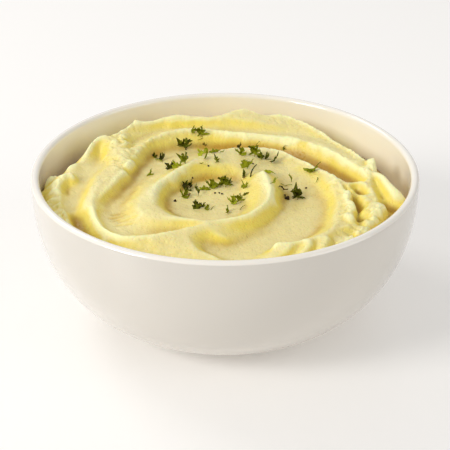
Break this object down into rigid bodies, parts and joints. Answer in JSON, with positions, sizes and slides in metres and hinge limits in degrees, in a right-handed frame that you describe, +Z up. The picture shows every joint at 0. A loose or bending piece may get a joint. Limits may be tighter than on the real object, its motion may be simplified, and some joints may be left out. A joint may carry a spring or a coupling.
{
  "type": "bowl of mashed potato",
  "caption": "Smooth mashed potato swirled by a spoon, filling a plain round off-white ceramic bowl almost to its rim.",
  "frame": {"origin": "on the bowl's axis, at the level that its foot stands on", "axes": "+Z up along the bowl's axis; the front is towards -Y, and +X is to the right seen from the front"},
  "size_m": [0.16, 0.16, 0.064],
  "materials": {
    "white_glaze": "glossy warm white glaze all over",
    "buttered_potato": "soft, slightly moist pale yellow mash, with fine grain",
    "parsley": "chopped green leaves, satin",
    "black_pepper": "dark cracked grains"
  },
  "bodies": {
    "root": {"bowl": "white_glaze", "mashed_potato": "buttered_potato"}
  },
  "joints": []
}
